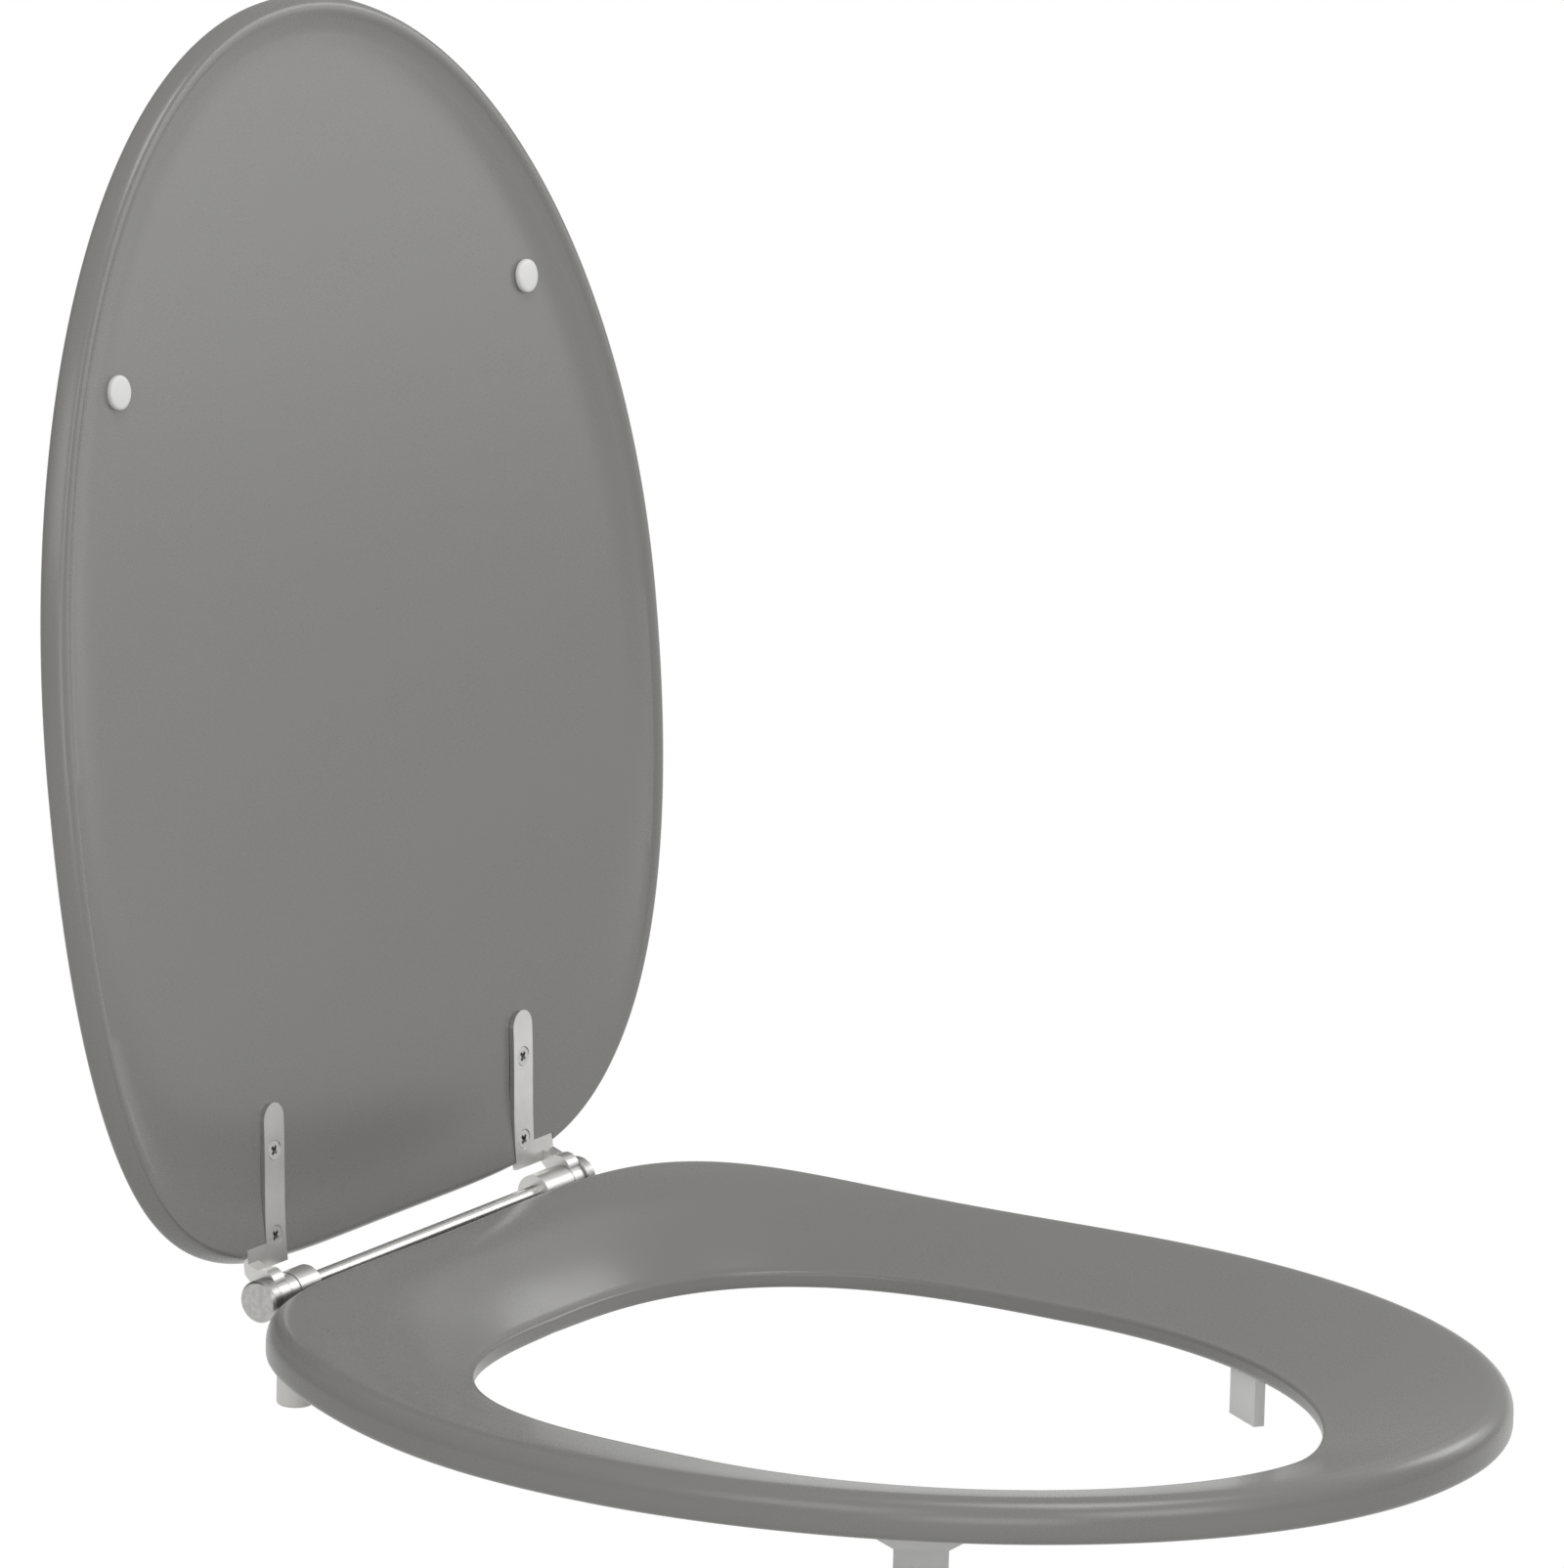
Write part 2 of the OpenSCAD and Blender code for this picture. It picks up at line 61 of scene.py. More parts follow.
# %% Units and the hinge
MM = 0.001
joints = {joint["name"]: joint for joint in frame["joints"]}
ROD_Z = joints["lid_hinge"]["pos_m"][2]
LID_OPEN = math.radians(joints["lid_hinge"]["range_deg"][1])
ROD = Vector((0, 0, ROD_Z))
SWING = Matrix.Translation(ROD) @ Matrix.Rotation(-LID_OPEN, 4, "X") @ Matrix.Translation(-ROD)
STILL = Matrix.Identity(4)
print("rod height", ROD_Z, "lid opening", round(math.degrees(LID_OPEN), 2))


def on_rod(x, front, up):
    """Point at x, front millimetres before the rod and up millimetres above it, in metres."""
    return Vector((x * MM, -front * MM, ROD_Z + up * MM))


# %% [markdown]
# The camera stands far away with a long lens, as a product photographer's does, so the ellipses of
# the seat and the lid keep their shape. Its place is given by the point it looks at, the distance,
# and the turn and height of the line of sight. A small roll levels the picture as in the photograph.

# %% Camera
PHOTO_W = 1600
TARGET = on_rod(0, 145.93, 188.42)
DISTANCE = 4.40164
AZIMUTH = math.radians(-57.67)
ELEVATION = math.radians(14.04)
ROLL = math.radians(1.36)
FOCAL_PX = 13052.55
CENTRE_PX = 798.2
SENSOR = 36.0

camera_data = bpy.data.cameras.new("camera")
camera = bpy.data.objects.new("camera", camera_data)
bpy.context.scene.collection.objects.link(camera)
back = Vector((
    math.sin(AZIMUTH) * math.cos(ELEVATION),
    -math.cos(AZIMUTH) * math.cos(ELEVATION),
    math.sin(ELEVATION),
))
level_right = Vector((math.cos(AZIMUTH), math.sin(AZIMUTH), 0))
level_up = back.cross(level_right)
right = level_right * math.cos(ROLL) + level_up * math.sin(ROLL)
upward = -level_right * math.sin(ROLL) + level_up * math.cos(ROLL)
turn = Matrix((right, upward, back)).transposed().to_4x4()
camera.matrix_world = Matrix.Translation(TARGET + back * DISTANCE) @ turn
camera_data.sensor_fit = "HORIZONTAL"
camera_data.sensor_width = SENSOR
camera_data.lens = FOCAL_PX * SENSOR / PHOTO_W
camera_data.shift_x = (PHOTO_W / 2 - CENTRE_PX) / PHOTO_W
camera_data.clip_start = 0.5
camera_data.clip_end = 50
bpy.context.scene.camera = camera
print("camera at", [round(c, 3) for c in camera.location], "lens", round(camera_data.lens, 1))

# %% [markdown]
# The seat and the lid are compression mouldings: every line of them flows. Seen from above, each
# outline is made of two halves that meet at the widest place, a squarish one towards the hinge and
# an ellipse towards the front. A superellipse draws both, because its powers make it rounder or
# squarer. The same function gives the outer edge, the opening and the lid.

# %% Outlines in plan
SEAT_W = 357
SEAT_WIDE = 190
SEAT_FRONT = 423
SEAT_BACK = 7.6
HOLE_W = 230.6
HOLE_BACK = 58
HOLE_WIDE = 198
HOLE_FRONT = 361.4
LID_W = 366
LID_BACK = 8.7
LID_WIDE = 196.8
LID_FRONT = 441.6
CROWDING = 1.6
SEAT_POWERS = (5.8, 1.9, 2.06, 1.96)
HOLE_POWERS = (2.7, 3.2, 1.7, 1.96)
LID_POWERS = (4.43, 2.2, 2.03, 2.01)


def outline(t, width, back_y, wide_y, front_y, powers):
    """
    Point of a half outline, with t from 0 to 1 at the rear and from 1 to 2 at the front.

    The powers are those across and along at the rear, then at the front. The points crowd towards
    the hinge, where the outline turns most.
    """
    angle = math.pi / 2 * (t**CROWDING if t <= 1 else t)
    across = abs(math.sin(angle))
    along = math.cos(angle)
    if t <= 1:
        y = wide_y - (wide_y - back_y) * max(0, along) ** (2 / powers[1])
        return width / 2 * across ** (2 / powers[0]), y
    y = wide_y + (front_y - wide_y) * max(0, -along) ** (2 / powers[3])
    return width / 2 * across ** (2 / powers[2]), y


def seat_outline(t):
    return outline(t, SEAT_W, SEAT_BACK, SEAT_WIDE, SEAT_FRONT, SEAT_POWERS)


def hole_outline(t):
    return outline(t, HOLE_W, HOLE_BACK, HOLE_WIDE, HOLE_FRONT, HOLE_POWERS)


def lid_outline(t):
    return outline(t, LID_W, LID_BACK, LID_WIDE, LID_FRONT, LID_POWERS)


def round_trip(share):
    """Share 0..1 of the whole closed outline as (t, side)."""
    if share < 0.5:
        return 4 * share, 1
    return 4 * (1 - share), -1


print("seat half widths:", [round(seat_outline(t)[0], 1) for t in (0, 0.5, 1, 1.5, 2)])

# %% [markdown]
# A grid is the easiest start for a skin that closes on itself. One direction of the grid runs round
# the outline, the other round the section, and a function says where each crossing lies. Merging
# the doubles closes the seams. That keeps clean quads, which carry long highlights without ripples.

# %% Skin from a grid
AROUND = 288
MERGE = 1e-6
SHARP = math.radians(32)


def to_object(bm, name, body):
    """Turns a bmesh into a named piece that rides on a body."""
    bmesh.ops.remove_doubles(bm, verts=bm.verts, dist=MERGE)
    bmesh.ops.recalc_face_normals(bm, faces=bm.faces)
    for face in bm.faces:
        face.smooth = True
    mesh = bpy.data.meshes.new(name)
    bm.to_mesh(mesh)
    bm.free()
    mesh.set_sharp_from_angle(angle=SHARP)
    piece = bpy.data.objects.new(name, mesh)
    bpy.context.scene.collection.objects.link(piece)
    if body:
        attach(piece, body)
    print(name, "faces:", len(mesh.polygons))
    return piece


def grid_skin(section_points, place):
    """bmesh whose grid point (i, j) lies at place(i / AROUND, j)."""
    bm = bmesh.new()
    bmesh.ops.create_grid(bm, x_segments=AROUND, y_segments=section_points - 1, size=0.5)
    for vert in bm.verts:
        i = round((vert.co.x + 0.5) * AROUND)
        j = round((vert.co.y + 0.5) * (section_points - 1))
        vert.co = place((i % AROUND) / AROUND, j)
    return bm


# %% [markdown]
# The ring of the seat isn't flat. Its rim rises towards the hinge and a little towards the front,
# and its top falls from the rim to the opening. Near the hinge the fall stays flat at first and then
# drops, which leaves the soft crease that catches the light there.

# %% Section of the seat ring
SEAT_WALL = 14.8
SHOULDER = 8
FOOT_R = 3
LIP_R = 1.8
LIP_UNDER_R = 2.6
LIP_T = 6.6
HALF_LENGTH = 220
RIM_UP = -3.9
RIM_REAR_RISE = 14.2
RIM_REAR_REACH = 87
RIM_FRONT_RISE = 5
INNER_UP = -16.8
INNER_FRONT_RISE = 2
FALL_POWER = 1.12
CREASE_POWER = 1.18
CREASE_START = 8
CREASE_REACH = 70
DECK_HOLLOW = 0.25
DECK_STEPS = 28
UNDER_POWER = 2.2
UNDER_STEPS = 10


def fading(distance, reach):
    """Bell curve: 1 at no distance, and next to nothing at twice the reach."""
    return math.exp(-((distance / reach) ** 2))


def lengthwise(f):
    """From -1 at the hinge over 0 at half length to 1 at the front."""
    return (f - HALF_LENGTH) / HALF_LENGTH


def rim_height(f):
    return RIM_UP + RIM_REAR_RISE * fading(f, RIM_REAR_REACH) + RIM_FRONT_RISE * lengthwise(f)


def inner_height(f):
    return INNER_UP + INNER_FRONT_RISE * lengthwise(f)


def rearness(f):
    return fading(max(0, f - CREASE_START), CREASE_REACH)


def arc(cx, cz, radius, start, end, count):
    """Points of an arc, angles in degrees from +x."""
    steps = [math.radians(start + (end - start) * k / (count - 1)) for k in range(count)]
    return [(cx + radius * math.cos(a), cz + radius * math.sin(a)) for a in steps]


def seat_section(w, f):
    """Closed section of the ring: distance from the outer wall and height, in millimetres."""
    top = rim_height(f)
    low = top - SEAT_WALL
    edge = inner_height(f)
    under = edge - LIP_T
    power = FALL_POWER + CREASE_POWER * rearness(f)
    run = w - SHOULDER - LIP_R
    points = arc(FOOT_R, low + FOOT_R, FOOT_R, 270, 180, 5)
    points += [(0, low + FOOT_R + (SEAT_WALL - FOOT_R - SHOULDER) * 0.5)]
    points += arc(SHOULDER, top - SHOULDER, SHOULDER, 180, 90, 10)
    for k in range(1, DECK_STEPS + 1):
        v = k / DECK_STEPS
        hollow = DECK_HOLLOW * math.sin(math.pi * v)
        points.append((SHOULDER + run * v, top + (edge - top) * v**power - hollow))
    points += arc(w - LIP_R, edge - LIP_R, LIP_R, 82, 0, 10)
    points += arc(w - LIP_UNDER_R, under + LIP_UNDER_R, LIP_UNDER_R, 0, -90, 4)
    for k in range(UNDER_STEPS - 1, 0, -1):
        v = k / UNDER_STEPS
        points.append((w * v, low + (under - low) * v**UNDER_POWER))
    return points + [points[0]]


# %% [markdown]
# A spoke runs from each point of the outer edge to its partner on the opening, and carries the
# section for its own width and place. The outlines give the right half, and the side mirrors it to
# the left. A spoke is kept once it is known, since every point of its section asks for it.

# %% Skin of the seat ring
SEAT_SECTION_POINTS = len(seat_section(60, 200))
seat_spokes = {}


def seat_point(share, j):
    t, side = round_trip(share)
    if share not in seat_spokes:
        outer = Vector(seat_outline(t))
        inner = Vector(hole_outline(t))
        width = (inner - outer).length
        seat_spokes[share] = (outer, (inner - outer) / width, seat_section(width, outer.y))
    outer, inward, section = seat_spokes[share]
    step, up = section[j]
    plan = outer + inward * step
    return on_rod(side * plan.x, plan.y, up)


seat_skin = grid_skin(SEAT_SECTION_POINTS, seat_point)
seat = to_object(seat_skin, "seat_moulding", "seat")
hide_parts("seat_ring")

# %% [markdown]
# The lid is a shallow dish turned upside down: a thin crowned panel with an edge that curls down
# round it. Its section is drawn along a spoke, from the middle of the outside over the rolled edge
# to the middle of the inside. The few points of the edge are rounded by a spline.

# %% Section of the lid
LID_EDGE = 10
LID_FLARE = 1.6
LID_T = 6
LID_EDGE_LINE = [
    (-6, 1.2), (-4.6, 0.3), (-3, 0), (-1.2, 0.2), (-0.2, 1.2), (0.7, 3.2),
    (LID_FLARE, 6.4), (LID_FLARE - 0.3, 7.9), (LID_FLARE - 1.6, LID_EDGE - 1),
    (-2.6, LID_EDGE - 0.2), (-6.5, LID_EDGE + 0.2),
]
LID_CENTRE = Vector((0, 205))
BEAD_START = 30
BEAD_REACH = 60
LIP_UP = 11.2
LIP_SIDE_DROP = 10.7
LIP_HALF = 185
LIP_SLOPE = 0.0239
LIP_REAR_DROP = 3.2
LIP_REAR_REACH = 20
PANEL_UP = 3
PANEL_SIDE_DROP = 4.3
PANEL_HALF = 170
PANEL_REAR_FLAT = 0.7
PANEL_REAR_RISE = 5.6
PANEL_REAR_START = 8
PANEL_REAR_REACH = 44


def bead(f):
    """Share of the bead along the edge: none at the hinge, whole from the widest place on."""
    return 1 - fading(max(0, f - BEAD_START), BEAD_REACH)


def lid_lip(x, f):
    """Height of the lowest line of the edge."""
    sides = LIP_SIDE_DROP * (x / LIP_HALF) ** 2
    return LIP_UP - sides - LIP_SLOPE * f - LIP_REAR_DROP * fading(f, LIP_REAR_REACH)


def lid_panel(x, f):
    """Height of the inside of the panel."""
    rear = fading(max(0, f - PANEL_REAR_START), PANEL_REAR_REACH)
    sides = PANEL_SIDE_DROP * (x / PANEL_HALF) ** 2 * (1 - PANEL_REAR_FLAT * rear)
    return PANEL_UP - sides + PANEL_REAR_RISE * rear


def spline(points, per_span):
    """Smooth line through the points."""
    line = []
    for i in range(len(points) - 1):
        p0 = Vector(points[max(0, i - 1)])
        p1 = Vector(points[i])
        p2 = Vector(points[i + 1])
        p3 = Vector(points[min(len(points) - 1, i + 2)])
        for k in range(per_span):
            u = k / per_span
            bend = (2 * p0 - 5 * p1 + 4 * p2 - p3) * u**2 + (3 * p1 - p0 - 3 * p2 + p3) * u**3
            line.append(0.5 * (2 * p1 + (p2 - p0) * u + bend))
    return line + [Vector(points[-1])]


# %% [markdown]
# The spokes of the lid all end in one middle. The steps along them are shares of the spoke, which
# lie close together near the edge, where the form changes fast, and far apart on the flat panel. At
# the hinge the edge has no bead, and there the panel meets it in a wider, softer curve.

# %% Skin of the lid
EDGE_LINE = spline(LID_EDGE_LINE, 3)
TOP_COUNT = 14
LOW_COUNT = 30
LOW_START = 0.055
TOP_STEPS = [1 - (k / TOP_COUNT) ** 1.5 for k in range(TOP_COUNT)]
LOW_STEPS = [LOW_START + (1 - LOW_START) * (k / LOW_COUNT) ** 1.8 for k in range(LOW_COUNT + 1)]
EDGE_ROLL = 0.3
CROWN = 0.6
BEAD_IN = -3
BEAD_TOP = LID_EDGE - 2
BLEND_START = 6
BLEND_REACH = 9
BLEND_WIDER = 12


def lid_profile(t):
    """Points of the lid along one spoke, from the crown over the edge to the middle of the panel."""
    edge = Vector(lid_outline(t))
    spoke = LID_CENTRE - edge
    length = spoke.length
    lip = lid_lip(edge.x, edge.y)
    points = []
    for k in TOP_STEPS:
        g = edge + spoke * k
        fall = (1 - k) ** 3
        inner = lid_panel(g.x, g.y) + LID_T
        up = (lip + LID_EDGE + EDGE_ROLL) * fall + inner * (1 - fall) + CROWN * (1 - (1 - k) ** 2)
        points.append((g, up))
    full = bead(edge.y)
    for e in reversed(EDGE_LINE):
        rise = e.y if e.x > BEAD_IN or e.y > BEAD_TOP else e.y * full
        points.append((edge - spoke / length * e.x, lip + rise))
    for k in LOW_STEPS:
        g = edge + spoke * k
        blend = fading(max(0, length * k - BLEND_START), BLEND_REACH + BLEND_WIDER * (1 - full))
        bead_end = lip + LID_EDGE_LINE[0][1] * full
        points.append((g, lid_panel(g.x, g.y) * (1 - blend) + bead_end * blend))
    return points


LID_POINTS = len(lid_profile(0.5))
lid_spokes = {}


def lid_point(share, j):
    t, side = round_trip(share)
    if share not in lid_spokes:
        lid_spokes[share] = lid_profile(t)
    plan, up = lid_spokes[share][j]
    return SWING @ on_rod(side * plan.x, plan.y, up)


lid = to_object(grid_skin(LID_POINTS, lid_point), "lid_moulding", "lid")
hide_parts("lid_shell")

# %% [markdown]
# The hinge sits in recesses of both mouldings: a relief for the rod, notches for the lid eyes, and
# pockets for the straps and the legs. A boolean modifier subtracts cutters from each skin. A cutter
# is a slab whose top follows a height, made from a small grid that is extruded downwards.

# %% Cutters
POST_X = 77.5
LID_EYE_W = 6.5
STRAP_W = 12
SEAT_STRAP_W = 10
STRAP_T = 1.8
POCKET_GAP = 0.1
POCKET_UP = 0.05
HAIR = 0.02
FLAT = math.radians(1)
eye_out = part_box("lid_strap_right")[1].x / MM
strap_low, strap_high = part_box("seat_strap_right")
seat_eye_mid = (strap_low.x + strap_high.x) / 2 / MM
seat_strap_end = -strap_low.y / MM
LID_STRAP_X = POST_X + 0.6
cutters = []


def add_cutter(bm):
    cutters.append(to_object(bm, "cutter", None))


def slab(x0, x1, f0, f1, top, depth, swing=STILL):
    """Block over x0..x1 and f0..f1 with its top at the height top(x, f), on both sides."""
    for side in (1, -1):
        bm = bmesh.new()
        bmesh.ops.create_grid(bm, x_segments=2, y_segments=12, size=0.5)
        for vert in bm.verts:
            x = x0 + (x1 - x0) * (vert.co.x + 0.5)
            f = f0 + (f1 - f0) * (vert.co.y + 0.5)
            vert.co = on_rod(side * x, f, top(x, f))
        wall = bmesh.ops.extrude_face_region(bm, geom=bm.faces[:])
        lower = [g for g in wall["geom"] if isinstance(g, bmesh.types.BMVert)]
        bmesh.ops.translate(bm, verts=lower, vec=(0, 0, -depth * MM))
        bmesh.ops.transform(bm, matrix=swing, verts=bm.verts)
        add_cutter(bm)


def peg(x, f, low, high, diameter, swing=STILL):
    """Upright cylinder at x and f between two heights, on both sides."""
    for side in (1, -1):
        bm = bmesh.new()
        centre = Matrix.Translation(on_rod(side * x, f, (low + high) / 2))
        bmesh.ops.create_cone(
            bm, cap_ends=True, segments=64, radius1=diameter / 2 * MM, radius2=diameter / 2 * MM,
            depth=(high - low) * MM, matrix=swing @ centre,
        )
        add_cutter(bm)


def merged_copy(node):
    """Copy of a CAD node with its triangles joined and its flat faces whole."""
    bm = bmesh.new()
    bm.from_mesh(frame["nodes"][node].data)
    bmesh.ops.remove_doubles(bm, verts=bm.verts, dist=MERGE)
    bmesh.ops.dissolve_limit(bm, angle_limit=FLAT, verts=bm.verts, edges=bm.edges)
    return bm


def swollen(node, gap):
    """Cutter in the shape of a CAD node that is grown by the gap on every side."""
    bm = merged_copy(node)
    bm.normal_update()
    shifts = [vert.normal * vert.calc_shell_factor() * gap * MM for vert in bm.verts]
    for vert, shift in zip(bm.verts, shifts):
        vert.co += shift
    add_cutter(bm)


def cut(piece):
    """Subtracts the cutters from a piece and applies the result."""
    group = bpy.data.collections.new("cutters")
    bpy.context.scene.collection.children.link(group)
    for cutter in cutters:
        group.objects.link(cutter)
    boolean = piece.modifiers.new("recesses", "BOOLEAN")
    boolean.operand_type = "COLLECTION"
    boolean.collection = group
    boolean.solver = "EXACT"
    bpy.context.view_layer.update()
    finished = piece.evaluated_get(bpy.context.evaluated_depsgraph_get())
    mesh = bpy.data.meshes.new_from_object(finished)
    piece.modifiers.clear()
    piece.data = mesh
    mesh.set_sharp_from_angle(angle=SHARP)
    for cutter in cutters:
        bpy.data.objects.remove(cutter)
    cutters.clear()
    bpy.data.collections.remove(group)
    print(piece.name, "after the cuts:", len(mesh.polygons), "faces")


# %% [markdown]
# The underside of the seat steps up at its rear, a little more in the middle: the seat straps lie
# there, and the step keeps clear of the rod. Two notches let the eyes of the lid through. The strap
# pockets have a round end, so a slab and a peg cut each one. A cutter runs past the skin on its open
# sides, because a boolean can't tell what to do with a face that both of them share.

# %% Recesses of the seat
PAST = 1
THROUGH = 20
RELIEF_END = 21
RELIEF_HALF = POST_X + 36.5
RELIEF_UP = -6.6
MIDDLE_HALF = POST_X - 8
MIDDLE_UP = -5.4
EYE_ROOM = 0.5
EYE_NOTCH_END = 11.3
SEAT_STRAP_UP = RELIEF_UP + 0.1
POCKET_DEEP = 30

slab(-PAST, RELIEF_HALF, -PAST, RELIEF_END, lambda x, f: RELIEF_UP, THROUGH)
slab(-PAST, MIDDLE_HALF, -PAST, RELIEF_END, lambda x, f: MIDDLE_UP, THROUGH)
eye_in = eye_out - LID_EYE_W
slab(eye_in - EYE_ROOM, eye_out + EYE_ROOM, -PAST, EYE_NOTCH_END, lambda x, f: THROUGH, 2 * THROUGH)
strap_half = SEAT_STRAP_W / 2 + POCKET_GAP
strap_top_up = SEAT_STRAP_UP + STRAP_T + HAIR
round_f = seat_strap_end - SEAT_STRAP_W / 2
pocket = (seat_eye_mid - strap_half, seat_eye_mid + strap_half)
slab(*pocket, -PAST, round_f, lambda x, f: strap_top_up, POCKET_DEEP)
peg(seat_eye_mid, round_f, strap_top_up - POCKET_DEEP, strap_top_up, 2 * strap_half)
swollen("seat_leg_left", POCKET_GAP)
swollen("seat_leg_right", POCKET_GAP)
cut(seat)

# %% [markdown]
# The lid straps lie on the inside of the panel and run out over its edge at the hinge. The edge
# stands lower than the panel there, so a slab whose top follows the strap takes it away, and a
# shorter one does the same for the arm beside the strap.

# %% Recesses of the lid
LID_POCKET_START = 4.7
LID_POCKET_END = 40
ARM_POCKET_END = 17.1
LID_POCKET_DEEP = 9


def lid_notch(x, f):
    """Top of the strap, which lies against the panel."""
    return lid_panel(LID_STRAP_X, f) - POCKET_UP + HAIR


strap_half = STRAP_W / 2 + POCKET_GAP
pocket = (LID_STRAP_X - strap_half, LID_STRAP_X + strap_half)
slab(*pocket, LID_POCKET_START, LID_POCKET_END, lid_notch, LID_POCKET_DEEP, SWING)
pocket = (LID_STRAP_X, eye_out + POCKET_GAP)
slab(*pocket, LID_POCKET_START, ARM_POCKET_END, lid_notch, LID_POCKET_DEEP, SWING)
cut(lid)

# %% [markdown]
# The CAD solids have knife edges, and real steel and plastic never do. A copy of each one is merged,
# freed of needless triangles and bevelled along its sharp edges. The narrow bands then catch the
# light, which is most of what makes a small metal part look real. The lid straps also get a round
# hollow for each screw head, because they slope a little and the heads stand straight.

# %% Parts with broken edges
HEAD_D = 7.2
HEAD_SINK = 0.15
HEAD_ROOM = 0.3
LID_SCREW_F = (18.5, 49)
HOLLOW_OUT = 3
HOLLOW_IN = 0.05


def lid_screw_up(f):
    """Height of the outer face of a screw head, sunk a little into the strap of the closed lid."""
    return lid_panel(LID_STRAP_X, f) - POCKET_UP - STRAP_T + HEAD_SINK


def even_shading(piece):
    """Lets the large faces decide the shading, so flat steel stays flat beside its small bevels."""
    weigh = piece.modifiers.new("even shading", "WEIGHTED_NORMAL")
    weigh.mode = "FACE_AREA"
    weigh.weight = 100
    weigh.keep_sharp = True


def deburred(node, body, width):
    """Copy of a CAD node with a narrow bevel along its sharp edges, in its place."""
    bm = merged_copy(node)
    paired = [edge for edge in bm.edges if len(edge.link_faces) == 2]
    sharp = [edge for edge in paired if edge.calc_face_angle() > SHARP]
    bmesh.ops.bevel(
        bm, geom=sharp, offset=width * MM, offset_type="OFFSET", affect="EDGES", segments=2,
        profile=0.5, material=-1, clamp_overlap=True,
    )
    piece = to_object(bm, node + "_deburred", body)
    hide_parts(node)
    return piece


STEEL_PARTS = {
    "hinge_post_left": ("hinge", 0.4), "hinge_post_right": ("hinge", 0.4),
    "rod_end_caps": ("hinge", 0.25), "lid_strap_left": ("lid", 0.3), "lid_strap_right": ("lid", 0.3),
    "seat_strap_left": ("seat", 0.3), "seat_strap_right": ("seat", 0.3),
}
steel = [deburred(node, body, width) for node, (body, width) in STEEL_PARTS.items()]
for strap in steel:
    if strap.name.startswith("lid_strap"):
        for f in LID_SCREW_F:
            head = lid_screw_up(f)
            peg(LID_STRAP_X, f, head - HOLLOW_OUT, head + HOLLOW_IN, HEAD_D + HEAD_ROOM, SWING)
        cut(strap)
legs = [deburred("seat_leg_" + side, "seat", 0.6) for side in ("left", "right")]
for piece in steel + legs:
    even_shading(piece)

# %% [markdown]
# A screw is turned: a profile of radius against length is spun round its axis. The cross recess of
# the drive is then sunk into its head by a boolean with two thin tapered bars. The four screws of a
# pair of straps are one piece, as they are one node in the CAD model.

# %% Screws
SCREW_D = 4
HEAD_H = 1.4
HEAD_EDGE = 0.25
TIP = 0.6
RECESS_W = 1.3
RECESS_L = 4.6
RECESS_DEEP = 2.2
RECESS_TAPER = 0.45
LID_SCREW_L = 6
SEAT_SCREW_L = 5.8
SEAT_SCREW_F = (20, 35)


def turned(bm, profile, matrix, steps=40):
    """Spins a profile of (radius, height) in millimetres round Z and puts it at the matrix."""
    verts = [bm.verts.new((radius * MM, 0, height * MM)) for radius, height in profile]
    edges = [bm.edges.new(pair) for pair in zip(verts, verts[1:])]
    bmesh.ops.spin(
        bm, geom=verts + edges, cent=(0, 0, 0), axis=(0, 0, 1), angle=2 * math.pi, steps=steps,
        use_merge=True,
    )
    bmesh.ops.transform(bm, matrix=matrix, verts=linked(verts))


def linked(verts):
    """All vertices that hang together with the given ones."""
    found = set(verts)
    edge_of = list(verts)
    while edge_of:
        vert = edge_of.pop()
        for edge in vert.link_edges:
            other = edge.other_vert(vert)
            if other not in found:
                found.add(other)
                edge_of.append(other)
    return list(found)


def strap_screws(name, node, body, places, length, swing):
    """Countersunk screws with their heads outwards at the places, each an (x, f, height)."""
    profile = [
        (0, 0), (HEAD_D / 2 - HEAD_EDGE, 0), (HEAD_D / 2, HEAD_EDGE), (SCREW_D / 2, HEAD_H),
        (SCREW_D / 2, length - TIP), (SCREW_D / 2 - TIP, length), (0, length),
    ]
    stands = [swing @ Matrix.Translation(on_rod(*place)) for place in places]
    screws = bmesh.new()
    for stand in stands:
        turned(screws, profile, stand)
    for angle in (45, 135):
        drives = bmesh.new()
        for stand in stands:
            bar = bmesh.ops.create_cube(drives, size=1)["verts"]
            for vert in bar:
                deep = vert.co.z > 0
                along = RECESS_L * (RECESS_TAPER if deep else 1)
                up = RECESS_DEEP if deep else -PAST
                vert.co = (vert.co.x * along * MM, vert.co.y * RECESS_W * MM, up * MM)
            at = stand @ Matrix.Rotation(math.radians(angle), 4, "Z")
            bmesh.ops.transform(drives, matrix=at, verts=bar)
        add_cutter(drives)
    piece = to_object(screws, name, body)
    cut(piece)
    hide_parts(node)
    return piece


def both_straps(x, spots, height):
    return [(side * x, f, height(f)) for side in (1, -1) for f in spots]


lid_screws = strap_screws(
    "lid_strap_screws_driven", "lid_strap_screws", "lid",
    both_straps(LID_STRAP_X, LID_SCREW_F, lid_screw_up), LID_SCREW_L, SWING,
)
seat_screws = strap_screws(
    "seat_strap_screws_driven", "seat_strap_screws", "seat",
    both_straps(seat_eye_mid, SEAT_SCREW_F, lambda f: SEAT_STRAP_UP), SEAT_SCREW_L, STILL,
)

# %% [markdown]
# Small set screws clamp the rod in the pillar heads from behind, and the end caps on the rod from
# below. They are headless: a chamfered stub with a hexagon socket for the key. The stub is turned like
# the screws above, and a cylinder of only six sides cuts the socket.

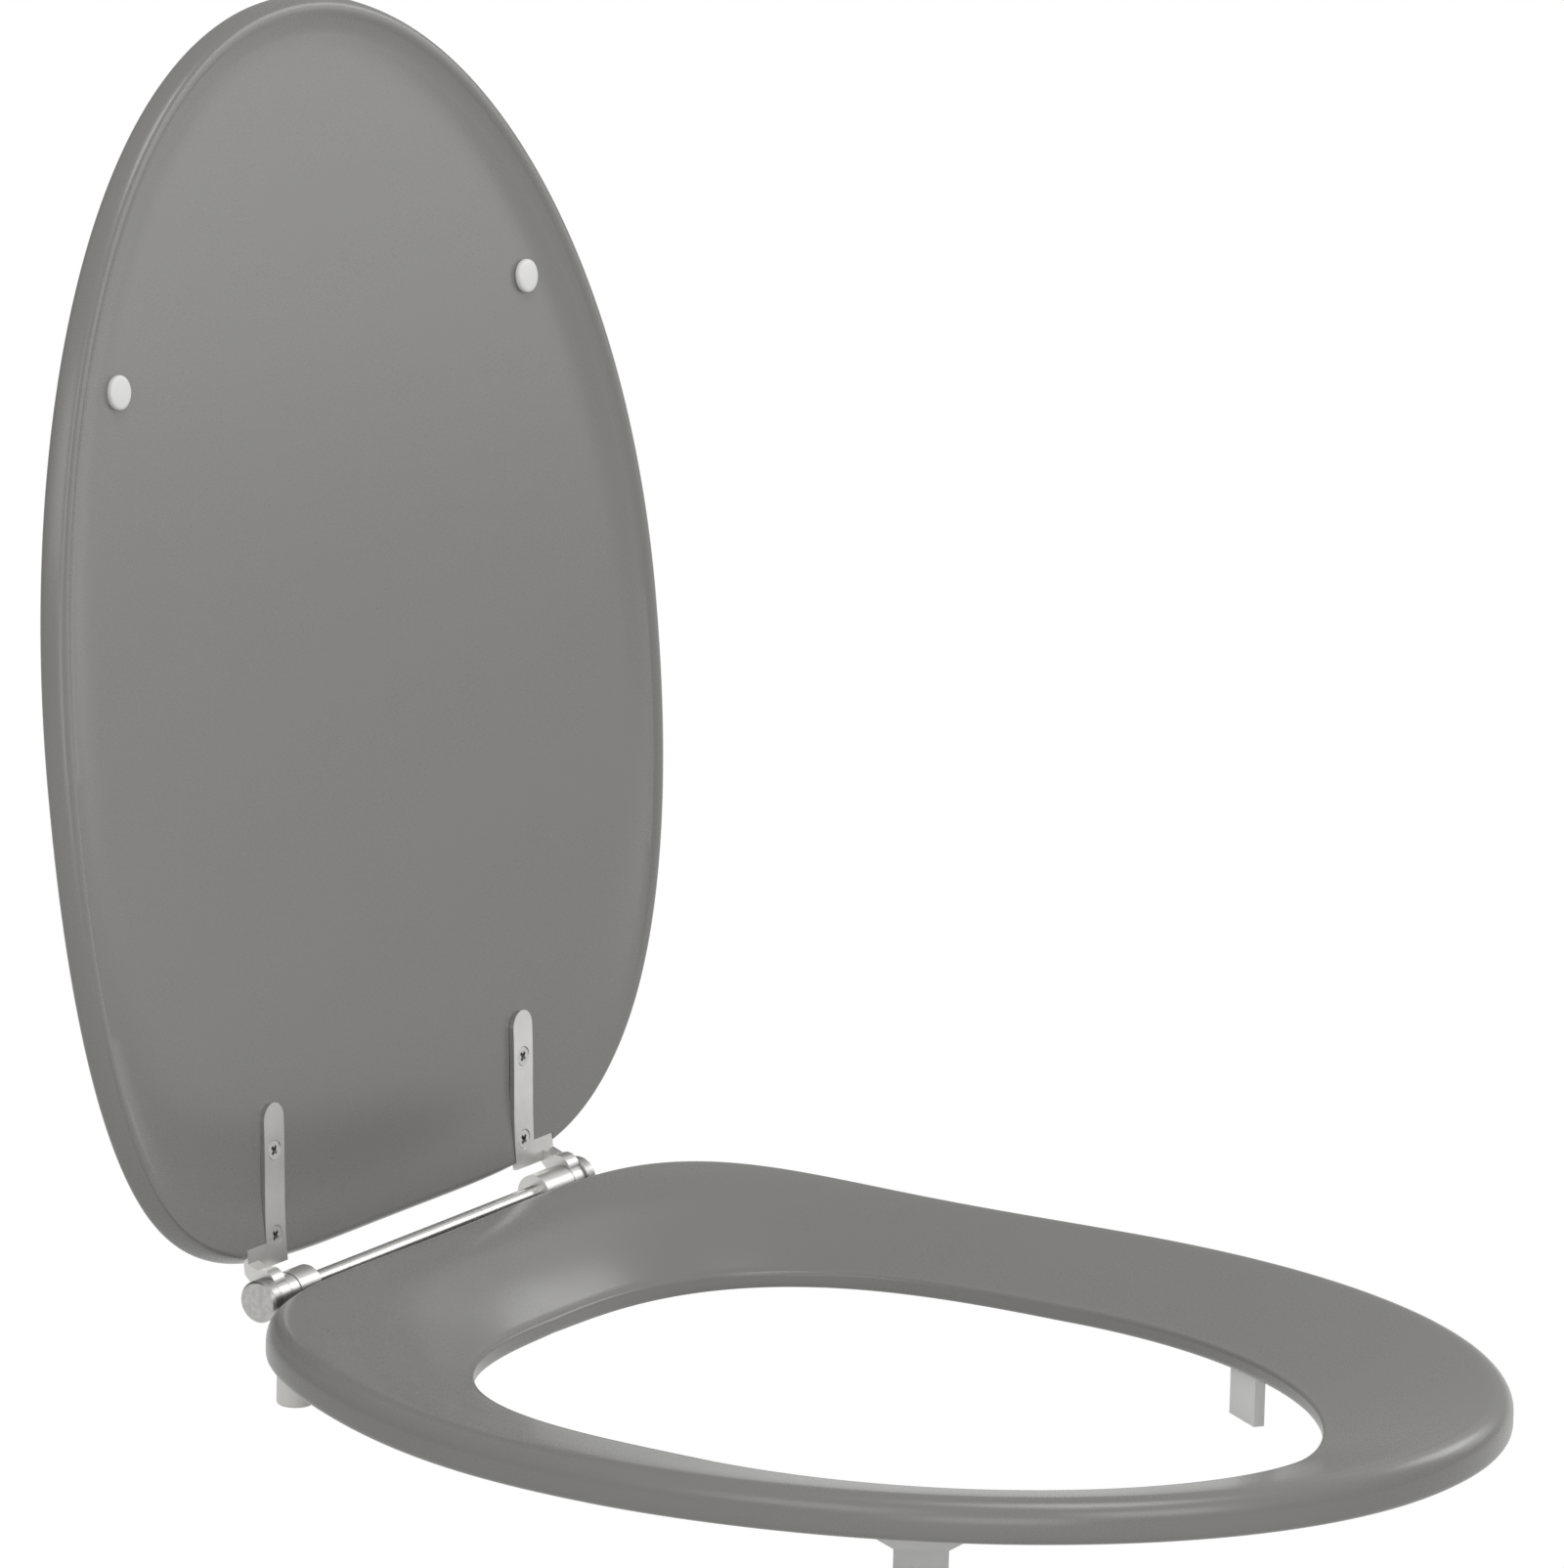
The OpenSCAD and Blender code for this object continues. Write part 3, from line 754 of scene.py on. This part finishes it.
# %% Set screws
SET_CHAMFER = 0.25
HEX_CORNER = 0.577
POST_SET_D = 3
POST_KEY = 1.5
CAP_SET_D = 2
CAP_KEY = 0.9


def set_screws(name, node, axis, middle_x, diameter, key):
    """Headless screws that end where the CAD ones do; axis turns +Z to their outer end."""
    low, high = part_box(node)
    size = (high - low) / MM
    length = size.y if axis == "Y" else size.z
    turn = Matrix.Rotation(math.radians(-90 if axis == "Y" else 180), 4, "X")
    half = length / 2
    edge = diameter / 2
    corner = key * HEX_CORNER * MM
    screws = bmesh.new()
    sockets = bmesh.new()
    for side in (1, -1):
        middle = Vector((side * middle_x, (low.y + high.y) / 2, (low.z + high.z) / 2))
        at = Matrix.Translation(middle) @ turn
        turned(screws, [
            (0, -half), (edge - 2 * SET_CHAMFER, -half), (edge, SET_CHAMFER * 2 - half),
            (edge, half - SET_CHAMFER), (edge - SET_CHAMFER, half), (0, half),
        ], at)
        bmesh.ops.create_cone(
            sockets, cap_ends=True, segments=6, radius1=corner, radius2=corner,
            depth=2 * key * MM, matrix=at @ Matrix.Translation((0, 0, half * MM)),
        )
    piece = to_object(screws, name, "hinge")
    add_cutter(sockets)
    cut(piece)
    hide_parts(node)
    return piece


post_set = set_screws(
    "post_set_screws_socket", "post_set_screws", "Y", POST_X * MM, POST_SET_D, POST_KEY,
)
cap_screw_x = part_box("cap_set_screws")[1].x - CAP_SET_D / 2 * MM
cap_set = set_screws(
    "cap_set_screws_socket", "cap_set_screws", "Z", cap_screw_x, CAP_SET_D, CAP_KEY,
)

# %% [markdown]
# A buffer is a soft mushroom that the closed lid rests on. Only its head shows, and the narrower neck
# below it stays in shadow, which draws the dark edge round the pale disc. The closed place of the CAD
# buffer gives the axis and the height, and the profile is turned there and swung open with the lid.

# %% Lid buffers
NECK_IN = 1.6
HEAD_T = 2.3
BUFFER_STEPS = 64


def closed_box(node):
    """Box of a CAD node of the lid as it lies when the lid is closed."""
    shut = SWING.inverted()
    points = [shut @ vert.co for vert in frame["nodes"][node].data.vertices]
    return [Vector([pick(p[k] for p in points) for k in range(3)]) for pick in (min, max)]


def lid_buffer(node):
    low, high = closed_box(node)
    edge = (high.x - low.x) / 2 / MM
    height = (high.z - low.z) / MM
    middle = Vector(((low.x + high.x) / 2, (low.y + high.y) / 2, low.z))
    bm = bmesh.new()
    turned(bm, [
        (0, 0), (edge - 1.3, 0), (edge - 0.6, 0.15), (edge - 0.15, 0.5), (edge, 1),
        (edge, HEAD_T - 0.4), (edge - 0.15, HEAD_T - 0.1), (edge - 0.5, HEAD_T),
        (edge - NECK_IN, HEAD_T + 0.1), (edge - NECK_IN, height), (0, height),
    ], SWING @ Matrix.Translation(middle), BUFFER_STEPS)
    piece = to_object(bm, node + "_turned", "lid")
    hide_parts(node)
    return piece


buffers = [lid_buffer("lid_buffer_" + side) for side in ("left", "right")]

# %% [markdown]
# A material is a network of nodes. A few helpers keep the networks short: one starts a node group
# with its inputs and outputs, one adds a node with its settings, one feeds its sockets, and small ones
# stand for a sum, a noise or a tone. A group is an effect that several materials share, each with its
# own numbers.

# %% Node helpers
KINDS = {"float": "NodeSocketFloat", "colour": "NodeSocketColor", "vector": "NodeSocketVector"}


def new_group(name, inputs, outputs):
    """Node group with named inputs and outputs, its input node and its output node."""
    group = bpy.data.node_groups.new(name, "ShaderNodeTree")
    for label, kind in inputs:
        group.interface.new_socket(label, in_out="INPUT", socket_type=KINDS[kind])
    for label, kind in outputs:
        group.interface.new_socket(label, in_out="OUTPUT", socket_type=KINDS[kind])
    return group, group.nodes.new("NodeGroupInput"), group.nodes.new("NodeGroupOutput")


def add_node(tree, kind, **settings):
    node = tree.nodes.new("ShaderNode" + kind)
    for name, value in settings.items():
        setattr(node, name, value)
    return node


def feed(tree, node, *sources):
    """Links or sets the inputs of a node in their order; None leaves an input as it is."""
    for socket, source in zip(node.inputs, sources):
        if isinstance(source, bpy.types.NodeSocket):
            tree.links.new(source, socket)
        elif source is not None:
            socket.default_value = source
    return node


def math_node(tree, operation, *sources):
    return feed(tree, add_node(tree, "Math", operation=operation), *sources).outputs[0]


def noise_node(tree, vector, scale, detail):
    """Noise from 0 to 1 with its middle at 0.5."""
    node = add_node(tree, "TexNoise")
    node.inputs["Detail"].default_value = detail
    tree.links.new(vector, node.inputs["Vector"])
    if isinstance(scale, bpy.types.NodeSocket):
        tree.links.new(scale, node.inputs["Scale"])
    else:
        node.inputs["Scale"].default_value = scale
    return node.outputs["Fac"]


def swing_round(tree, middle, noise, amount):
    """middle + (noise - 0.5) * 2 * amount."""
    half = math_node(tree, "SUBTRACT", noise, 0.5)
    return math_node(tree, "MULTIPLY_ADD", math_node(tree, "MULTIPLY", half, 2.0), amount, middle)


def toned(tree, colour, factor):
    """Colour times a factor."""
    grey = feed(tree, add_node(tree, "CombineColor"), factor, factor, factor).outputs[0]
    mix = add_node(tree, "Mix", data_type="RGBA", blend_type="MULTIPLY")
    mix.inputs["Factor"].default_value = 1
    tree.links.new(colour, mix.inputs["A"])
    tree.links.new(grey, mix.inputs["B"])
    return mix.outputs["Result"]


# %% [markdown]
# Moulded plastic copies its steel mould: a faint waviness of a few millimetres, which photographers
# call orange peel, and a much finer grain that decides how dull the gloss is. The tone also drifts a
# little over the piece, because the filler doesn't flow quite evenly. One group makes all three.

# %% Group for moulded skin
SKIN_INPUTS = [
    ("Colour", "colour"), ("Waves", "float"), ("Grain", "float"), ("Drift", "float"),
    ("Roughness", "float"), ("Uneven gloss", "float"),
]
SKIN_OUTPUTS = [("Colour", "colour"), ("Roughness", "float"), ("Height", "float")]
DRIFT_SCALE = 14
GRAIN_SHARE = 0.25
skin_group, given, result = new_group("moulded_skin", SKIN_INPUTS, SKIN_OUTPUTS)
place = add_node(skin_group, "TexCoord").outputs["Object"]
waves = noise_node(skin_group, place, given.outputs["Waves"], 1)
grain = noise_node(skin_group, place, given.outputs["Grain"], 2)
drift = noise_node(skin_group, place, DRIFT_SCALE, 3)
tone = swing_round(skin_group, 1.0, drift, given.outputs["Drift"])
gloss = swing_round(skin_group, given.outputs["Roughness"], drift, given.outputs["Uneven gloss"])
gloss = swing_round(skin_group, gloss, grain, given.outputs["Uneven gloss"])
height = math_node(skin_group, "MULTIPLY_ADD", grain, GRAIN_SHARE, waves)
skin_group.links.new(toned(skin_group, given.outputs["Colour"], tone), result.inputs["Colour"])
skin_group.links.new(gloss, result.inputs["Roughness"])
skin_group.links.new(height, result.inputs["Height"])
print("group:", skin_group.name, "nodes:", len(skin_group.nodes))

# %% [markdown]
# Steel keeps the lines of the tool that finished it. A belt leaves straight lines, which are a noise
# stretched a hundred times one way. A lathe leaves rings, which are a noise that knows only how far a
# point lies along the axis and how far from it. A switch of 0 or 1 picks one of the two.

# %% Group for tool lines
LINE_INPUTS = [
    ("Colour", "colour"), ("Stretch", "vector"), ("Turned", "float"), ("Drift", "float"),
    ("Blotches", "float"), ("Roughness", "float"), ("Uneven gloss", "float"),
]
RINGS = 2600
line_group, given, result = new_group("tool_lines", LINE_INPUTS, SKIN_OUTPUTS)
place = add_node(line_group, "TexCoord").outputs["Object"]
centred = add_node(line_group, "Mapping")
line_group.links.new(place, centred.inputs["Vector"])
centred.inputs["Location"].default_value = (0, 0, -ROD_Z)
straight = feed(
    line_group, add_node(line_group, "VectorMath", operation="MULTIPLY"), centred.outputs[0],
    given.outputs["Stretch"],
).outputs[0]
parts = feed(line_group, add_node(line_group, "SeparateXYZ"), centred.outputs[0]).outputs
across = math_node(line_group, "SQRT", math_node(
    line_group, "ADD", math_node(line_group, "POWER", parts[1], 2.0),
    math_node(line_group, "POWER", parts[2], 2.0),
))
rings = feed(
    line_group, add_node(line_group, "CombineXYZ"), math_node(line_group, "MULTIPLY", parts[0], RINGS),
    math_node(line_group, "MULTIPLY", across, RINGS), 0.0,
).outputs[0]
either = add_node(line_group, "Mix", data_type="VECTOR")
line_group.links.new(given.outputs["Turned"], either.inputs["Factor"])
line_group.links.new(straight, either.inputs["A"])
line_group.links.new(rings, either.inputs["B"])
lines = noise_node(line_group, either.outputs["Result"], 1, 3)
drift = noise_node(line_group, place, given.outputs["Blotches"], 2)
tone = swing_round(line_group, 1.0, drift, given.outputs["Drift"])
gloss = swing_round(line_group, given.outputs["Roughness"], lines, given.outputs["Uneven gloss"])
line_group.links.new(toned(line_group, given.outputs["Colour"], tone), result.inputs["Colour"])
line_group.links.new(gloss, result.inputs["Roughness"])
line_group.links.new(lines, result.inputs["Height"])
print("group:", line_group.name, "nodes:", len(line_group.nodes))

# %% [markdown]
# Each material places a group, gives it its own numbers and hands the results to the one shader,
# which stays in the material. The height goes through a bump node whose distance is the real depth
# of the waves or lines, a few thousandths of a millimetre.

# %% Materials


def new_material(name):
    material = bpy.data.materials.new(name)
    material.use_nodes = True
    return material, material.node_tree, material.node_tree.nodes["Principled BSDF"]


def textured(name, group, colour, depth, metallic=0.0, **numbers):
    """Material from a group, with the real depth of its relief in millimetres."""
    material, tree, shader = new_material(name)
    effect = add_node(tree, "Group", node_tree=group)
    effect.inputs["Colour"].default_value = (*colour, 1)
    for label, value in numbers.items():
        effect.inputs[label.replace("_", " ")].default_value = value
    bump = add_node(tree, "Bump")
    bump.inputs["Distance"].default_value = depth * MM
    tree.links.new(effect.outputs["Height"], bump.inputs["Height"])
    tree.links.new(bump.outputs["Normal"], shader.inputs["Normal"])
    tree.links.new(effect.outputs["Colour"], shader.inputs["Base Color"])
    tree.links.new(effect.outputs["Roughness"], shader.inputs["Roughness"])
    shader.inputs["Metallic"].default_value = metallic
    print("material:", name)
    return material


THERMOSET = textured(
    "thermoset_warm_grey", skin_group, (0.2, 0.197, 0.19), 0.006,
    Waves=240, Grain=2600, Drift=0.03, Roughness=0.28, Uneven_gloss=0.03,
)
BUFFER = textured(
    "buffer_near_white", skin_group, (0.74, 0.74, 0.72), 0.02,
    Waves=500, Grain=3500, Drift=0.03, Roughness=0.42, Uneven_gloss=0.05,
)
PALE = textured(
    "slippery_off_white", skin_group, (0.88, 0.87, 0.84), 0.02,
    Waves=600, Grain=4000, Drift=0.04, Roughness=0.38, Uneven_gloss=0.05,
)
LEG = textured(
    "leg_light_grey", skin_group, (0.86, 0.86, 0.85), 0.02,
    Waves=450, Grain=3000, Drift=0.03, Roughness=0.45, Uneven_gloss=0.05,
)
STAINLESS = (0.62, 0.615, 0.6)
TURNED_STEEL = textured(
    "steel_turned", line_group, STAINLESS, 0.0012, 1.0,
    Stretch=(1, 1, 1), Turned=1, Drift=0.05, Blotches=160, Roughness=0.26, Uneven_gloss=0.08,
)
CAP_STEEL = textured(
    "steel_cap", line_group, (0.46, 0.455, 0.445), 0.006, 1.0,
    Stretch=(1, 1, 1), Turned=1, Drift=0.3, Blotches=520, Roughness=0.36, Uneven_gloss=0.14,
)
BRUSHED_UP = textured(
    "steel_brushed_upright", line_group, STAINLESS, 0.004, 1.0,
    Stretch=(3200, 3200, 60), Turned=0, Drift=0.1, Blotches=160, Roughness=0.34, Uneven_gloss=0.1,
)
BRUSHED_LONG = textured(
    "steel_brushed_lengthwise", line_group, STAINLESS, 0.004, 1.0,
    Stretch=(3200, 60, 3200), Turned=0, Drift=0.1, Blotches=160, Roughness=0.34, Uneven_gloss=0.1,
)
SCREW_STEEL = textured(
    "steel_screws", line_group, (0.56, 0.56, 0.55), 0.003, 1.0,
    Stretch=(1500, 1500, 1500), Turned=0, Drift=0.08, Blotches=400, Roughness=0.3, Uneven_gloss=0.08,
)

# %% [markdown]
# The finishes go to the pieces by what each one is made of. The hidden CAD nodes get the same ones,
# so nothing falls back to a plain grey when a piece is looked at alone.

# %% Finishes on the pieces
FINISHES = {
    "seat_ring": THERMOSET, "lid_shell": THERMOSET,
    "hinge_rod": TURNED_STEEL, "rod_end_caps": CAP_STEEL,
    "hinge_post_left": BRUSHED_UP, "hinge_post_right": BRUSHED_UP,
    "lid_strap_left": BRUSHED_UP, "lid_strap_right": BRUSHED_UP,
    "seat_strap_left": BRUSHED_LONG, "seat_strap_right": BRUSHED_LONG,
    "lid_strap_screws": SCREW_STEEL, "seat_strap_screws": SCREW_STEEL,
    "post_set_screws": SCREW_STEEL, "cap_set_screws": SCREW_STEEL,
    "foot_sleeves": PALE, "lid_bushes": PALE, "seat_bushes": PALE,
    "lid_buffer_left": BUFFER, "lid_buffer_right": BUFFER,
    "seat_leg_left": LEG, "seat_leg_right": LEG,
}


def finish(piece, material):
    piece.data.materials.clear()
    piece.data.materials.append(material)


for node, material in FINISHES.items():
    finish(frame["nodes"][node], material)
for piece in (seat, lid):
    finish(piece, THERMOSET)
for piece in steel + legs:
    finish(piece, FINISHES[piece.name.removesuffix("_deburred")])
for piece in (lid_screws, seat_screws, post_set, cap_set):
    finish(piece, SCREW_STEEL)
for piece in buffers:
    finish(piece, BUFFER)
print("finished:", len(FINISHES), "nodes")

# %% [markdown]
# The floor is a plain pale sheet. To the camera, and in what steel mirrors, it shows pure white, as
# the paper of a product photograph does. All other light meets its real surface, which lies in the
# shadow of the seat, so the undersides stay dark.

# %% Floor
FLOOR_HALF = 6
FLOOR_GAP = 0.0002
FLOOR_TONE = 0.62
floor_mesh = bpy.data.meshes.new("floor")
bm = bmesh.new()
bmesh.ops.create_grid(bm, x_segments=1, y_segments=1, size=FLOOR_HALF)
bmesh.ops.translate(bm, verts=bm.verts, vec=(0, 0, -FLOOR_GAP))
bm.to_mesh(floor_mesh)
bm.free()
floor = bpy.data.objects.new("floor", floor_mesh)
bpy.context.scene.collection.objects.link(floor)

paper, tree, shader = new_material("white_paper")
shader.inputs["Base Color"].default_value = (FLOOR_TONE, FLOOR_TONE, FLOOR_TONE, 1)
shader.inputs["Roughness"].default_value = 0.9
rays = add_node(tree, "LightPath").outputs
seen = math_node(tree, "MAXIMUM", rays["Is Camera Ray"], rays["Is Glossy Ray"])
seen = math_node(tree, "MAXIMUM", seen, rays["Is Transmission Ray"])
white = add_node(tree, "Emission").outputs[0]
mix = feed(tree, add_node(tree, "MixShader"), seen, shader.outputs[0], white)
tree.links.new(mix.outputs[0], tree.nodes["Material Output"].inputs["Surface"])
floor_mesh.materials.append(paper)

# %% [markdown]
# The studio has a dim, even room light and a few soft boxes. Two of them stand low on the right: the
# open lid is a flat mirror that leans back, and their reflection gives it its brighter upper half.
# The large ones in front and above model the seat. Each is given by its turn round the seat from
# the front, its distance, its height, the side of its square and its power.

# %% Light
ROOM_LIGHT = 0.46
SOFT_BOXES = {
    "right_low": (62, 1.1, 0.47, 0.4, 0.68), "right_mid": (65, 1.1, 0.73, 0.4, 1.7),
    "front": (330, 1.47, 1.07, 0.7, 5.0), "left": (270, 1.47, 1.07, 0.7, 3.5),
    "above": (0, 0.3, 1.89, 0.7, 8.4), "beside_camera": (300, 1.69, 0.37, 0.7, 3.9),
    "right_high": (90, 1.47, 1.07, 0.7, 0.7),
}
LIGHT_AIM = Vector((0, -0.12, 0.23))

world = bpy.data.worlds.new("studio")
bpy.context.scene.world = world
world.use_nodes = True
world.node_tree.nodes["Background"].inputs["Color"].default_value = (1, 1, 1, 1)
world.node_tree.nodes["Background"].inputs["Strength"].default_value = ROOM_LIGHT

for name, (turn, distance, height, size, power) in SOFT_BOXES.items():
    data = bpy.data.lights.new(name, "AREA")
    data.shape = "SQUARE"
    data.size = size
    data.energy = power
    box = bpy.data.objects.new(name, data)
    angle = math.radians(turn)
    box.location = (math.sin(angle) * distance, LIGHT_AIM.y - math.cos(angle) * distance, height)
    box.rotation_mode = "QUATERNION"
    box.rotation_quaternion = (LIGHT_AIM - box.location).to_track_quat("-Z", "Y")
    box.visible_camera = False
    bpy.context.scene.collection.objects.link(box)
print("soft boxes:", len(SOFT_BOXES))

bpy.context.scene.view_settings.view_transform = "Standard"

# %% [markdown]
# At the end the view layer is updated once more.

# %% Final update
bpy.context.view_layer.update()
